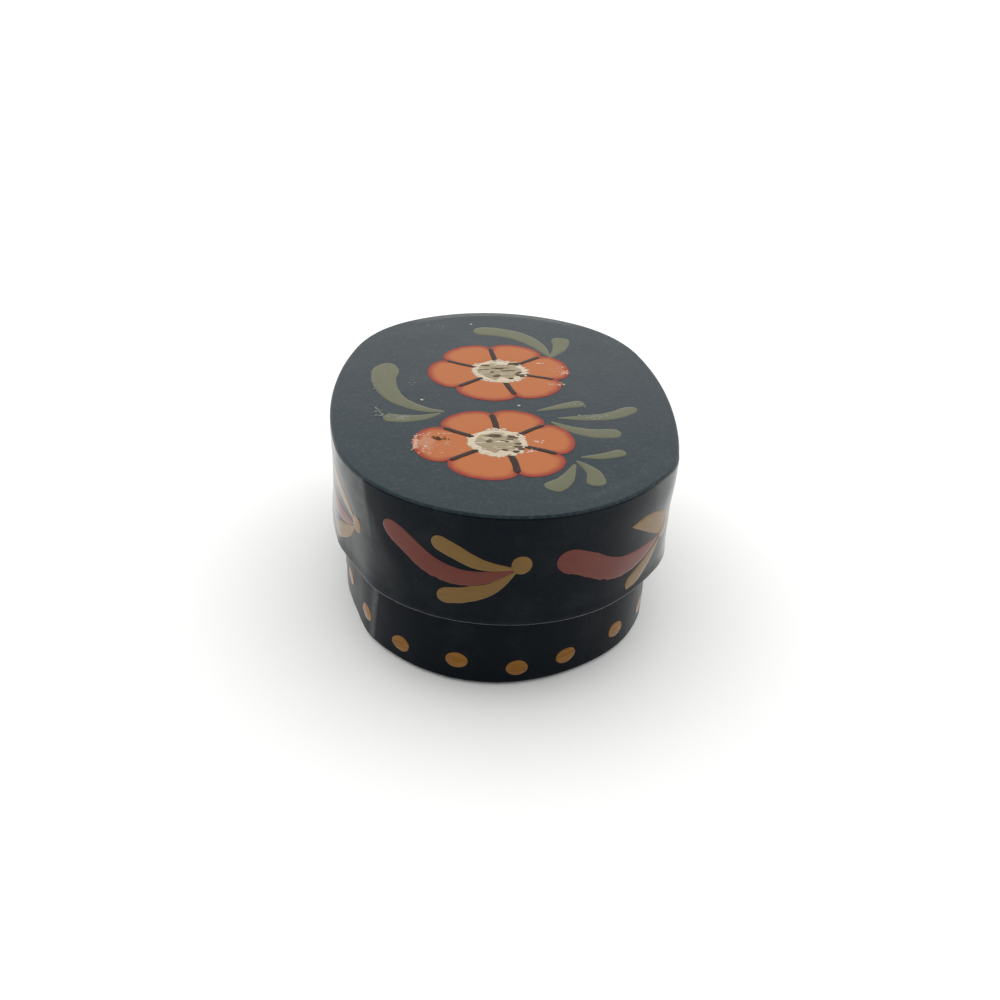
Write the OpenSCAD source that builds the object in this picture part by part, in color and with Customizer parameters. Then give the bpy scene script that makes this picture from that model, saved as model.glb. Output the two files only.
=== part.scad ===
// Oval trinket box: a card base and an overlapping lift-off lid, both covered in pasted paper.
// The origin is on the table under the middle of the box, +Z is up and +Y runs along the oval.
// Every layer is an offset from one outline, the upper edge of the lid.

/* [Outline] */
// Width of the lid across its upper edge
lid_w = 50; // [47:0.5:60]
// Length of the lid across its upper edge
lid_l = 67; // [60:0.5:80]
// Radius of the oval's two long sides
side_r = 62; // [45:1:80]

/* [Heights] */
// Height of the base's rim above the table
base_h = 25.2; // [20:0.2:40]
// Height of the lid from its lower fold to its top
lid_h = 16.1; // [12:0.1:20]

/* [Card] */
// Thickness of the boards that close the lid and the base
board_t = 1.6; // [1:0.1:2.5]
// Thickness of the card strips bent into the two walls
strip_t = 0.7; // [0.6:0.1:1.4]
// Length of the sloping cut where the two ends of a strip are pasted together
skive_l = 5; // [2:0.5:8]
// How far the lid's covered board stands out past the wall under it
overhang = 0.3; // [0.2:0.1:1]
// How far the lid's wall springs outward from its top to its lower edge
lid_flare = 0.5; // [0:0.1:1.2]

/* [Paper] */
// Thickness of the covering paper
paper_t = 0.25; // [0.15:0.05:0.4]
// Width of the paper folded over the lid's board and under the base's floor
flange_w = 2.8; // [2.4:0.1:6]
// Depth of the pinked teeth that let a folded edge lie flat round the curve
pink_l = 1.4; // [0.5:0.1:1.8]
// Height of the paper turned in past an open edge
turn_in = 5; // [3:0.5:6]
// Distance from the edge of the box to the edge of a covering sheet
sheet_inset = 0.6; // [0.5:0.1:1]
// Length of the lap where the covering paper ends on itself
lap_l = 9; // [6:0.5:14]
// Distance from the left end of the front curve to the end of the base's lap
base_lap = 8.5; // [2:0.5:12]
// Distance from the left end of the front curve to the end of the lid's lap
lid_lap = 10.5; // [2:0.5:14]

/* [Fit] */
// Gap between the lid's wall and the base's lap
slip_gap = 0.3; // [0.2:0.05:0.6]
// Gap between the base's rim and the lid's lining
seat_gap = 0.1; // [0.05:0.05:0.3]
// Thickness of the paste between two layers
paste_t = 0.05; // [0.03:0.01:0.1]
// Gap round the edge of a lining sheet
lining_gap = 0.2; // [0.1:0.05:0.5]

/* [Hidden] */

// Colours of the painted outside, the raw card and the paper inside
painted = "#20262a";
greyboard = "#8f8676";
kraft = "#b28c5c";

// Facets along a side of the oval, along an end and up to the lap, and steps in a bend
side_steps = 16;
end_steps = 32;
lap_steps = 6;
bend_steps = 2;

// How gently the sections of a strip turn square behind its skived ends
skive_ease = 4;

// The oval is two end arcs and two side arcs that meet on common tangents
half_w = lid_w / 2;
half_l = lid_l / 2;
end_r = (2 * side_r * half_w - half_w * half_w - half_l * half_l) / (2 * (side_r - half_l));
end_y = half_l - end_r;
side_x = side_r - half_w;
side_half = atan2(end_y, side_x);
degrees = 180 / PI;

// One layer of paper with its paste, and the radii of paper folded hard over a card's corner
layer = paper_t + paste_t;
bend_r = 2 * paste_t;
bend_out = bend_r + paper_t;

// Offsets of the walls' painted and bare faces
lid_face = -overhang;
lid_bare = lid_face - layer - strip_t;
base_face = lid_bare - slip_gap - layer;
base_bare = base_face - layer - strip_t;

// Levels in the base
base_fold_z = paper_t + paste_t;
base_board_z = base_fold_z + layer;
base_floor_z = base_board_z + board_t;
base_strip_top = base_h - layer;

// Levels in the lid, which rests on the base's rim
lid_lining_z = base_h + seat_gap;
lid_board_z = lid_lining_z + layer;
lid_board_top = lid_board_z + board_t;
lid_fold_top = lid_board_top + layer;
lid_top = lid_fold_top + layer;
lid_low = lid_top - lid_h;
lid_strip_top = lid_board_z - paste_t;
lid_strip_low = lid_low + layer;

// Point of the oval whose outward direction is a, moved outward by an offset
function at(a, offset) =
    abs(sin(a)) < sin(side_half)
    ? [-sign(cos(a)) * side_x, 0] + (side_r + offset) * [cos(a), sin(a)]
    : [0, sign(sin(a)) * end_y] + (end_r + offset) * [cos(a), sin(a)];

// Directions along a stretch of the oval, without its last one
function stretch(from, to, steps) = [for (i = [0 : steps - 1]) from + (to - from) * i / steps];
back_half = concat(
    stretch(-side_half, side_half, side_steps),
    stretch(side_half, 180 - side_half, end_steps),
    stretch(180 - side_half, 180 + side_half, side_steps));
front_start = 180 + side_half;
front_end = 360 - side_half;
whole = concat(back_half, stretch(front_start, front_end, end_steps));

// Directions round a wrapped wall, with one on each side of the lap's cut end
function lap_end(face, lap) = front_start + lap / (end_r + face) * degrees;
function wrapped(end) = concat(
    back_half,
    stretch(front_start, end, lap_steps), [end],
    stretch(end + paste_t / end_r * degrees, front_end, end_steps - lap_steps - 1));

// Thickness added by the lap in one direction
function lap_run(a, face) = (a - front_start) / degrees * ((a < front_start ? side_r : end_r) + face);
function lap_t(a, face, lap) =
    lap_run(a, face) > lap - lap_l && lap_run(a, face) < lap + paste_t / 2 ? layer : 0;

// Width of a folded edge, pinked at every other place
function pinked(i) = flange_w - (i % 2) * pink_l;

// How far the lid's wall has sprung outward at a height
function lean(z) = lid_flare * (lid_board_z - z) / (lid_board_z - lid_low);

// Points along a bend, both ends included
function bend(x, z, r, from, to) = [
    for (i = [0 : bend_steps])
        let (a = from + (to - from) * i / bend_steps) [x + r * cos(a), z + r * sin(a)]
];

// A profile of offsets and heights, stood up in one direction of the oval
function stood(profile, a) = [for (p = profile) concat(at(a, p[0]), p[1])];

// Triangles between neighbouring sections of a loft
function skin(n, m, closed) = [
    for (i = [0 : n - (closed ? 1 : 2)], j = [0 : m - 1])
        let (a = i * m, b = (i + 1) % n * m, k = (j + 1) % m)
        each [[a + j, b + k, b + j], [a + j, a + k, b + k]]
];

// A loft that closes on itself
module ring(sections) {
    polyhedron([for (s = sections) each s], skin(len(sections), len(sections[0]), true), convexity = 8);
}

// A loft with two cut ends
module loft(sections) {
    n = len(sections);
    m = len(sections[0]);
    cut = (n - 1) * m;
    ends = [for (j = [1 : m - 2]) each [[0, j + 1, j], [cut, cut + j, cut + j + 1]]];
    polyhedron([for (s = sections) each s], concat(skin(n, m, false), ends), convexity = 8);
}

// The oval at an offset, and a flat board or sheet of that outline
module oval(offset) {
    polygon([for (a = whole) at(a, offset)]);
}
module plate(offset, z, t) {
    translate([0, 0, z]) linear_extrude(t) oval(offset);
}

// A flat frame between two offsets
module frame(outer, inner, z, t) {
    translate([0, 0, z]) linear_extrude(t) difference() {
        oval(outer);
        oval(inner);
    }
}

// A covering sheet: its edge lies on a folded edge, and its middle is pressed onto the board inside that
module sheet(face, edge_z, middle_z) {
    step = face - flange_w - paste_t;
    frame(face - sheet_inset, step - paper_t, edge_z, paper_t);
    frame(step, step - paper_t, min(edge_z, middle_z), layer + paper_t);
    plate(step, middle_z, paper_t);
}

// Directions of the outer and inner face at each section of a bent strip, whose skived ends meet at the back
function strip_turns(bare) =
    let (turn = degrees / (end_r + bare))
    let (half = skive_l / 2 * turn, gap = paste_t / 2 * skive_l / strip_t * turn)
    let (round = concat([for (a = whole) if (a > 90 + gap) a], [for (a = whole) if (a < 90 - gap) a + 360]))
    [
        for (a = concat([90 + gap], round, [450 - gap]))
            let (slant = max(0, half - min(a - 90, 450 - a) / skive_ease)) [a - slant, a + slant]
    ];

// The board inside the foot of the base's wall
module base_floor_board() {
    color(greyboard) plate(base_bare - paste_t, base_board_z, board_t);
}

// The card strip bent into the base's wall
module base_wall_band() {
    turns = strip_turns(base_bare);
    color(greyboard) translate([0, 0, base_board_z]) linear_extrude(base_strip_top - base_board_z) polygon(concat(
        [for (a = turns) at(a[0], base_bare + strip_t)],
        [for (i = [len(turns) - 1 : -1 : 0]) at(turns[i][1], base_bare)]));
}

// The paper round the base: folded under the floor, up the wall and turned in over the rim
module base_wall_wrap() {
    turned = base_bare - layer;
    low = base_fold_z + bend_out;
    high = base_h - bend_out;
    outer = base_face - bend_out;
    inner = turned + bend_out;
    function profile(flange, lap) = concat(
        [[base_face - flange, base_fold_z]],
        bend(outer, low, bend_out, 270, 360),
        [[base_face + lap, low + paste_t], [base_face + lap, high - paste_t]],
        bend(outer, high, bend_out, 0, 90),
        bend(inner, high, bend_out, 90, 180),
        [[turned, base_h - turn_in], [turned + paper_t, base_h - turn_in]],
        bend(inner, high, bend_r, 180, 90),
        bend(outer, high, bend_r, 90, 0),
        bend(outer, low, bend_r, 360, 270),
        [[base_face - flange, base_fold_z + paper_t]]);
    turns = wrapped(lap_end(base_face, base_lap));
    color(painted) ring([
        for (i = [0 : len(turns) - 1])
            stood(profile(pinked(i), lap_t(turns[i], base_face, base_lap)), turns[i])
    ]);
}

// The paper on the floor inside
module base_lining_sheet() {
    color(kraft) plate(base_bare - lining_gap, base_floor_z + paste_t, paper_t);
}

// The paper under the floor, which the box stands on
module base_underside_sheet() {
    color(painted) sheet(base_face, 0, base_fold_z);
}

// The board across the top of the lid
module lid_top_board() {
    color(greyboard) plate(-layer, lid_board_z, board_t);
}

// The card strip bent into the lid's wall, which springs outward at its lower edge
module lid_rim_band() {
    high = lid_bare + lean(lid_strip_top);
    low = lid_bare + lean(lid_strip_low);
    color(greyboard) loft([
        for (a = strip_turns(lid_bare)) concat(
            stood([[high, lid_strip_top], [low, lid_strip_low]], a[1]),
            stood([[low + strip_t, lid_strip_low], [high + strip_t, lid_strip_top]], a[0]))
    ]);
}

// The paper round the lid: turned up inside, round the lower edge, up the wall and over the board
module lid_rim_wrap() {
    turned = lid_bare - layer;
    low = lid_low + bend_out;
    high = lid_fold_top - bend_out;
    top = lid_low + turn_in;
    outer = lid_face - bend_out + lean(low);
    inner = turned + bend_out + lean(low);
    tuck = lid_board_z - paper_t;
    tuck_in = tuck + paper_t / 2;
    function profile(flange, lap) = concat(
        [[turned + lean(top), top]],
        bend(inner, low, bend_out, 180, 270),
        bend(outer, low, bend_out, 270, 360),
        [[lid_face + lap + lean(low), low + paste_t]],
        [[lid_face + lap + lean(tuck - overhang), tuck - overhang], [0, tuck]],
        bend(-bend_out, high, bend_out, 0, 90),
        [[-flange, lid_fold_top], [-flange, lid_fold_top - paper_t]],
        bend(-bend_out, high, bend_r, 90, 0),
        [[-paper_t, tuck_in], [lid_face - paper_t + lean(tuck_in - overhang), tuck_in - overhang]],
        bend(outer, low, bend_r, 360, 270),
        bend(inner, low, bend_r, 270, 180),
        [[turned + paper_t + lean(top), top]]);
    turns = wrapped(lap_end(lid_face, lid_lap));
    color(painted) ring([
        for (i = [0 : len(turns) - 1])
            stood(profile(pinked(i), lap_t(turns[i], lid_face, lid_lap)), turns[i])
    ]);
}

// The paper under the lid's board, which comes down on the rim
module lid_lining_sheet() {
    color(kraft) plate(lid_bare - lining_gap, lid_lining_z, paper_t);
}

// The paper on top of the lid
module lid_top_sheet() {
    color(painted) sheet(0, lid_top - paper_t, lid_board_top + paste_t);
}

base_floor_board();
base_wall_band();
base_wall_wrap();
base_lining_sheet();
base_underside_sheet();
lid_top_board();
lid_rim_band();
lid_rim_wrap();
lid_lining_sheet();
lid_top_sheet();
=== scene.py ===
"""Dresses the oval trinket box: painted paper over card, brush-painted ornament, and a pale stage."""

import math
import random

import bmesh
import bpy
from bpy.props import FloatProperty, FloatVectorProperty, IntProperty, PointerProperty
from mathutils import Matrix, Vector, noise


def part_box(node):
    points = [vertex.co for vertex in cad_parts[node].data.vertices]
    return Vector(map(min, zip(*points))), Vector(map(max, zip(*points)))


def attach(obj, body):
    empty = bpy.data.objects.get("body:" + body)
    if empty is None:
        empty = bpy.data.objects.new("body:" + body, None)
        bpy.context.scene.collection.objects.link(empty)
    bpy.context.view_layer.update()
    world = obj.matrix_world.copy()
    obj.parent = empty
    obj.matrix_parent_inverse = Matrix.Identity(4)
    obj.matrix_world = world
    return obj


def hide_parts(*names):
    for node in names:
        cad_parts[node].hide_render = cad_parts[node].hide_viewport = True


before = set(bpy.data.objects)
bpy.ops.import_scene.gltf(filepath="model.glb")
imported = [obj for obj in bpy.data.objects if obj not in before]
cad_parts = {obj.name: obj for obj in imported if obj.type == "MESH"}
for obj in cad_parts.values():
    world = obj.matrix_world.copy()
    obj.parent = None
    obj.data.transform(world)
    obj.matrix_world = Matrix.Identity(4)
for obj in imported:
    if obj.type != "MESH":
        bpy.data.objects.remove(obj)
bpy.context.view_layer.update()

bl_info = {
    "name": "Oval Trinket Box",
    "version": (1, 0, 0),
    "blender": (4, 5, 0),
    "location": "View3D > Sidebar > Trinket Box",
    "description": "Dresses a paper-covered oval box with painted walls, folk flowers and a pale stage",
    "category": "Object",
}

MM = 0.001
FRONT = -math.pi / 2
FULL_TURN = 2 * math.pi

# Where the hand-bent lid and base are out of true: millimetres outward, degrees round from the right, and
# degrees of reach
LID_SWELLS = ((0.7, -23, 13), (-0.2, 2, 14), (-0.22, 182, 16), (0.3, 42, 20), (0.3, 140, 18))
BASE_SWELLS = ((0.15, -8, 16), (-0.55, -52, 28))

# Where the lid's wall is held in at its lower edge: share of the flare, and the same angles
HELD_IN = ((0.9, 207, 20), (0.9, -42, 18), (0.9, -28, 13))

# Where a pale painted sheen lightens the walls' colour, standing in for the floor's reflection on their
# flanks:
# strength and the same angles, then its strength behind a lap and where that fades out
PAINTED_SHEEN = ((1.6, -24, 12), (0.8, 25, 20), (0.4, 120, 22))
LAP_PAINTED_SHEEN = 0.9
LAP_PAINTED_SHEEN_END = (18 * MM, 34 * MM)

# How far each wall is rubbed along its lap's cut end, which also paints the highlight that end catches, and
# how strong its painted sheen is
LID_WEAR_AND_SHEEN = (0, 1)
BASE_WEAR_AND_SHEEN = (0.8, 0.14)

# How far the paint is rubbed along a wall's edge, which also paints the edge's highlight, and along a sheet's
# edge, and the strength of a painted highlight line by the lid's far rim
EDGE_WEAR_AND_HIGHLIGHT = 0.08
SHEET_WEAR = 0.1
FAR_RIM_HIGHLIGHT = 0.9

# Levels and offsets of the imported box
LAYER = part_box("base_wall_wrap")[0].z
HALF_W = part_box("lid_top_board")[1].x + LAYER
HALF_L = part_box("lid_top_board")[1].y + LAYER
LID_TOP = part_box("lid_top_sheet")[1].z
LID_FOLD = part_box("lid_rim_wrap")[1].z
LID_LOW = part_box("lid_rim_wrap")[0].z
LID_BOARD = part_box("lid_top_board")[0].z
BASE_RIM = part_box("base_wall_wrap")[1].z
BASE_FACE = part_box("base_wall_band")[1].x + LAYER - HALF_W
BASE_CARD = [corner.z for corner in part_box("base_wall_band")]
LID_CARD = [corner.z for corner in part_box("lid_rim_band")]

# How finely the walls, the flat sheets and the brush strokes are drawn
WALL_TURNS = 320
WALL_ROWS = 26
SHEET_RINGS = 22
BEND_STEPS = 6
CARD_ROWS = 8
STROKE_ROWS = 30
ACROSS = (-1, -0.95, -0.78, -0.45, 0, 0.45, 0.78, 0.95, 1)
EVEN_TURNS = [FRONT + FULL_TURN * i / WALL_TURNS for i in range(WALL_TURNS)]

# Paint: how far it stands off the paper, how far its edge is sunk in, the lengths over which a stroke's edge
# and its ridges wander, and the least half of its breadth
PAINT_T = 0.04 * MM
SINK = 0.04 * MM
RAGGED_L = 1.2 * MM
RIDGE_L = 4 * MM
LEAST_HALF = 0.02 * MM

# Specular level of old paint, and sheen with its roughness on the lid's strokes and on the base's dots
SPECULAR = 0.06
STROKE_DUST = (0.9, 0.36)
DOT_DUST = (0.8, 0.34)

# Softness of a lap's cut end and the close points across it, and the lengths of a wall's waves and flutes
LAP_SOFT = 0.3 * MM
LAP_CUTS = [cut * MM for cut in (-0.5, -0.3, -0.15, 0, 0.15, 0.3, 0.5)]
WAVE_L = 14 * MM
FLUTE_L = 2.6 * MM

# Slope of each lap's cut end, aside over up, and the share of a layer that it stands out at the wall's lower
# and upper edge, where less than none is flat
LID_LAP = (-0.17, (-0.5, 0.5))
BASE_LAP = (0.15, (0.3, 0.3))

# Size of the brush marks along each axis in millimetres, upright on the walls and across on the sheets
UPRIGHT = (0.5, 0.5, 6)
CROSSWISE = (3, 1.2, 1.2)

# Cockles in the lid's sheet: length and height, then the share of its dip that shows all round
COCKLE_L = 11 * MM
COCKLE = 0.04 * MM
EVEN_DIP = 0.12

# Brightness of the room in front, behind, and added at both sides
FRONT_GLOW = 0.2
BACK_GLOW = 1.8
SIDE_GLOW = 0.9

# Gap between the closed ends of a card strip, and how far a sheet's flat back stays off the folded paper
CARD_GAP = 0.1 * MM
BACK_GAP = 0.01 * MM

# Where the folded edge shows through the lid's sheet: share of its height, degrees round from the right, and
# degrees of reach
RIDGES = ((0.6, -50, 24),)

# How far in from the edge of the lid and of the base their sheets end, and the band of close rings inside
SHEET_EDGE = 0.08 * MM
FOOT_EDGE = 0.5 * MM
SHEET_BAND = 6 * MM

# The two flowers: centre and radius in millimetres, share of the heart that is wiped thin, how many dabs lie
# over that, the dark lines in degrees round from the right, and the reach of the petal before each line
FLOWERS = (
    (-0.1, 8.5, 10.9, 0.82, 10, (42, 98, 157, 223, 284, 343), (1.01, 0.99, 1.0, 1.02, 0.98, 1.0)),
    (-1.1, -14.8, 10.3, 0.78, 16, (40, 94, 152, 219, 286, 341), (1.03, 1.0, 0.98, 1.12, 1.0, 1.02)),
)

# How each dark line turns aside inward of the place where it points true, in degrees over a radius
LINE_SLANTS = ((0, 0, 8, 0, -8, 0), (0, -8, 8, 0, 20, 12))

# Where each dark line is held, the range of its outer end, and where it points true, as shares of the radius
LINE_HOLDS = (0.34, 0.58)
LINE_ENDS = (0.78, 0.84)
LINE_TRUE = 0.8

# A heart's radius and the notch between petals as shares of the flower's radius, and the dabs round a heart
HEART = 0.4
NOTCH = 0.79
HEART_DABS = 46

# How full a petal's round end is, and how much wider it is than its share, so that neighbours lap
PETAL_FULL = 2.2
PETAL_LAP = 1.01

# Dark smudges in each heart in millimetres from its middle: length, breadth, place and slope
SMUDGES = (
    (
        (3.2, 0.7, 1.9, 2.7, 0.05),
        (1.3, 1.3, 2.9, -1.3, 0.2),
        (1.4, 1.2, -0.4, -1.9, 0.1),
        (2.2, 0.4, -0.3, 0.9, 0.0),
        (1.1, 0.4, -2.1, 1.8, -0.2),
        (1.7, 0.4, 1.2, 0.1, 0.1),
        (1.2, 0.3, -2.4, 0.2, 0.0),
        (0.9, 0.5, 1.7, -2.7, 0.1),
        (1.0, 0.3, -1.2, -0.6, 0.1),
    ),
    (
        (2.8, 0.7, -0.6, 1.7, 0.1),
        (1.9, 0.9, 2.1, 1.3, -0.1),
        (1.7, 1.4, 2.5, -1.2, 0.1),
        (1.0, 0.8, -1.2, 0.1, 0.0),
        (1.0, 0.5, 0.9, -2.2, 0.1),
        (1.2, 0.5, 1.1, 0.2, 0.0),
    ),
)

# Leaves on the lid in millimetres: breadth, how late it tapers, then the pull of the brush from head to tail
LEAVES = (
    (3.6, 3.0, (-3.9, 24.4), (-0.8, 24.6), (3.4, 22.9), (6.3, 19.4), (8.1, 14.7)),
    (3.1, 1.6, (10.4, 22.6), (10.1, 18.6), (8.1, 14.0)),
    (4.2, 1.1, (-17.2, 10.5), (-17.6, 4.2), (-15.6, -1.8), (-11.8, -5.0), (-8.4, -5.9)),
    (2.4, 2.0, (-16.9, -8.0), (-14.2, -8.3), (-11.4, -7.8), (-8.9, -6.4)),
    (2.0, 1.6, (11.8, -1.9), (8.6, -3.2), (4.8, -4.9)),
    (2.4, 2.0, (19.3, -3.1), (15.4, -5.8), (11.4, -6.7), (7.7, -7.0)),
    (2.8, 1.8, (16.1, -11.1), (12.4, -11.4), (9.2, -10.3), (6.6, -8.2)),
    (1.9, 1.8, (15.9, -16.5), (12.9, -17.8), (9.7, -18.3)),
    (2.6, 1.5, (11.0, -25.6), (11.0, -22.2), (9.1, -19.2)),
    (2.8, 1.5, (4.9, -26.8), (7.2, -24.2), (8.8, -20.2)),
)

# The motif round the lid, in three hands, in millimetres along and up from its bud: breadth, then the pull of
# the brush
MOTIFS = (
    (
        (3.0, (-18.6, 2.3), (-15.4, 0.7), (-11.4, -1.7), (-7.2, -2.5), (-3.4, -1.8), (-0.8, -0.7)),
        (2.3, (-11.4, 2.4), (-8.4, 1.1), (-5.0, -0.3), (-0.6, -0.7)),
        (2.4, (-10.5, -5.8), (-6.8, -4.9), (-3.6, -3.6), (-0.6, -0.9)),
    ),
    (
        (3.7, (-19.8, 2.4), (-16.4, 1.4), (-12.0, -0.9), (-8.0, -1.6), (-4.0, -1.2), (-1.0, -0.4)),
        (3.5, (0.6, 0.5), (-2.4, 2.1), (-5.4, 3.4), (-8.6, 4.1)),
        (2.5, (-8.4, -5.6), (-5.8, -4.4), (-3.1, -2.9), (-0.6, -0.8)),
    ),
    (
        (3.2, (-19.8, 2.4), (-16.4, 1.5), (-12.0, -0.7), (-8.0, -1.5), (-4.0, -1.4), (-1.0, -0.6)),
        (3.0, (-9.4, 4.3), (-6.2, 3.3), (-3.0, 1.5), (-0.5, 0.1)),
        (2.5, (-8.8, -5.6), (-6.0, -4.4), (-3.2, -2.9), (-0.6, -0.8)),
    ),
)
BUD = (2.6, (-0.9, -1.2), (0.6, 1.0))

# Buds round the lid: share of the way round to the right from the middle of the front, height in millimetres,
# and which hand
BUDS = (
    (0.009, 20.9, 0), (0.138, 18.7, 1), (0.262, 19.8, 0), (0.387, 20.6, 2),
    (0.508, 19.2, 0), (0.634, 20.4, 1), (0.759, 19.4, 0), (0.877, 19.6, 2),
)

# Dots round the base in millimetres: run and height of those in front, how many even ones close the row, the
# length and breadth of a dot, and the height of the even ones
FRONT_DOTS = ((-30.0, 4.9), (-22.2, 4.0), (-14.7, 3.1), (-6.1, 3.7), (2.0, 2.9), (9.1, 3.4), (18.3, 3.9))
MORE_DOTS = 15
DOT_SIZE = (3.0, 2.5)
DOT_Z = 3.5

# Worn places on the lid's top in millimetres: place, reach along and across, how many dabs, and their longest
CHIPS = (
    (-12.2, -15.3, 0.3, 1.5, 60, 0.34),
    (-11.4, -13.3, 0.9, 0.5, 10, 0.32),
    (-10.7, -17.2, 0.8, 0.5, 12, 0.34),
    (-10.5, -15.9, 0.5, 0.6, 4, 0.5),
    (-8.2, -12.6, 1.0, 0.3, 6, 0.4),
    (4.5, -14.2, 0.7, 0.3, 9, 0.5),
    (3.3, -16.8, 0.8, 0.4, 10, 0.5),
    (6.7, 11.9, 0.8, 0.3, 10, 0.45),
    (9.9, 8.6, 0.6, 0.9, 14, 0.5),
    (9.7, 10.9, 0.7, 0.3, 6, 0.4),
    (8.4, 4.4, 1.0, 0.4, 10, 0.4),
)
RUBBED = (
    (-10.9, -15.4, 1.0, 1.7, 130, 0.7),
    (-7.6, -16.2, 1.6, 1.4, 20, 0.5),
    (8.6, 9.2, 1.4, 1.6, 24, 0.5),
    (7.6, 4.0, 1.4, 0.8, 14, 0.5),
)
LEAF_DUST = (
    (-14.4, -8.2, 0.8, 0.8, 50, 0.5),
    (-16.4, -7.6, 1.1, 0.4, 20, 0.4),
    (-17.8, -6.2, 0.5, 0.7, 20, 0.4),
    (-18.9, 2.2, 0.25, 0.9, 20, 0.4),
    (13.6, -6.3, 2.2, 0.5, 36, 0.5),
    (10.6, -2.6, 1.1, 0.4, 18, 0.4),
)
GROUND_DUST = (
    (-13.4, 3.4, 1.2, 2.2, 14, 0.25),
    (-10.4, -0.6, 1.5, 1.8, 10, 0.25),
    (-10.6, 26.2, 2.4, 0.9, 14, 0.3),
    (18.4, 20.8, 1.3, 1.1, 8, 0.3),
)
DARK_SPOT = (-9.2, -14.1, 0.8, 0.4, 18, 0.6)
SPECKS = ((-4.3, 27.6), (2.3, -3.3), (-11.7, -2.2))
SPECK_SIZE = 0.45


def linear(hex_colour):
    """An sRGB hex colour as linear red, green and blue."""
    channels = [int(hex_colour[i : i + 2], 16) / 255 for i in (1, 3, 5)]
    return [c / 12.92 if c <= 0.04045 else ((c + 0.055) / 1.055) ** 2.4 for c in channels]


def length_value(label, words, millimetres):
    """A length that a user may change."""
    return FloatProperty(name=label, description=words, default=millimetres * MM, unit="LENGTH", precision=5)


def colour_value(label, words, hex_colour):
    """A colour that a user may change."""
    value = linear(hex_colour)
    return FloatVectorProperty(name=label, description=words, default=value, subtype="COLOR", min=0, max=1)


def angle_value(label, words, degrees):
    """An angle that a user may change."""
    return FloatProperty(name=label, description=words, default=math.radians(degrees), subtype="ANGLE")


class BoxShape(bpy.types.PropertyGroup):
    """Sizes of the dressed paper and card."""

    side_r: length_value("Side radius", "Radius of the oval's two long sides", 62)
    paper_t: length_value("Paper", "Thickness of the covering paper", 0.25)
    strip_t: length_value("Card strip", "Thickness of the card bent into a wall", 0.7)
    overhang: length_value("Overhang", "How far the lid's board stands out past its wall", 0.3)
    brow: length_value("Brow", "Height over which the lid's wall runs out to the board above it", 6)
    flare: length_value("Flare", "How far the lid's wall springs outward at its lower edge", 0.5)
    fold_r: length_value("Fold", "Outside radius of the paper folded round an edge", 0.35)
    flange: length_value("Folded edge", "Width of the paper folded over the boards", 2.8)
    drape: length_value("Drape", "Length over which a sheet slopes off the folded edge under it", 1.8)
    dip: length_value("Dip", "How far the middle of the lid's sheet lies below its edge", 0.1)
    turn_in: length_value("Turned in", "Height of the paper turned in past an open edge", 5)
    lid_lap: length_value("Lid lap", "Run left from mid-front to the cut end of the lid's lap", 18.9)
    base_lap: length_value("Base lap", "Run left from mid-front to the cut end of the base's lap", 18.4)
    lap_l: length_value("Lap", "Length of the laps", 9)
    skive_l: length_value("Skive", "Length of the sloping cut where a card strip closes", 5)
    slow_wave: length_value("Wall wave", "Height of the slow waves in the walls", 0.22)
    flute: length_value("Wall flutes", "Height of the narrow upright waves in the walls", 0.035)
    bead: length_value("Lower bead", "How far the lid's lower fold stands out", 0.1)
    crease: length_value("Crease", "How flat the wall lies behind the cut end of a lap", 0.45)
    crease_l: length_value("Creased length", "Length of wall that lies flat behind a lap", 14)


class BoxColours(bpy.types.PropertyGroup):
    """Colours of the paints, the card and the paper."""

    ground: colour_value("Ground", "Black ground paint", "#060d14")
    # The top's ground is lightened and tinted blue-grey as painted reflection of the room, unlike the walls'
    # ground
    faded: colour_value("Top ground, painted reflection", "Black ground paint, lightened to blue-grey on the top as painted reflection", "#18282e")
    # The worn colour is also the pale of the painted sheen and of the painted highlights along edges and laps
    worn: colour_value("Worn ground", "Ground paint where it is rubbed thin", "#686b6b")
    orange: colour_value("Petals", "Orange of the petals", "#ac663c")
    rim: colour_value("Petal rims", "Red that shades the petals' rims", "#8c382c")
    cream: colour_value("Hearts", "Cream of the flowers' hearts and of the specks", "#cbbda8")
    wash: colour_value("Heart wash", "Thin olive wash inside the hearts", "#9a8d74")
    brown: colour_value("Lines", "Dark brown of the lines", "#36221a")
    smudge: colour_value("Smudges", "Brown of the smudges in the hearts", "#463a2c")
    olive: colour_value("Leaves", "Olive green of the leaves", "#65664f")
    red: colour_value("Strokes", "Brick red of the strokes on the wall", "#68372f")
    ochre: colour_value("Small strokes", "Ochre of the small strokes and buds", "#755b32")
    dot: colour_value("Dots", "Golden ochre of the dots", "#885e28")
    dot_middle: colour_value("Dot middles", "Orange ochre where a dot's paint gathers", "#865412")
    chip: colour_value("Chips", "Chalky pale pink of the chips", "#c8b0a2")
    rubbed: colour_value("Rubbed petals", "Petal paint rubbed pale", "#b2826a")
    stain: colour_value("Stain", "Dark brown in the largest chip", "#4c3018")
    scuff: colour_value("Scuffs", "Grey of dry scuffs", "#7f837a")
    card: colour_value("Card", "Raw greyboard", "#958b7b")
    kraft: colour_value("Lining", "Brown kraft paper", "#b08a5b")
    floor: colour_value("Floor", "Pale floor", "#fcfdfb")


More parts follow.
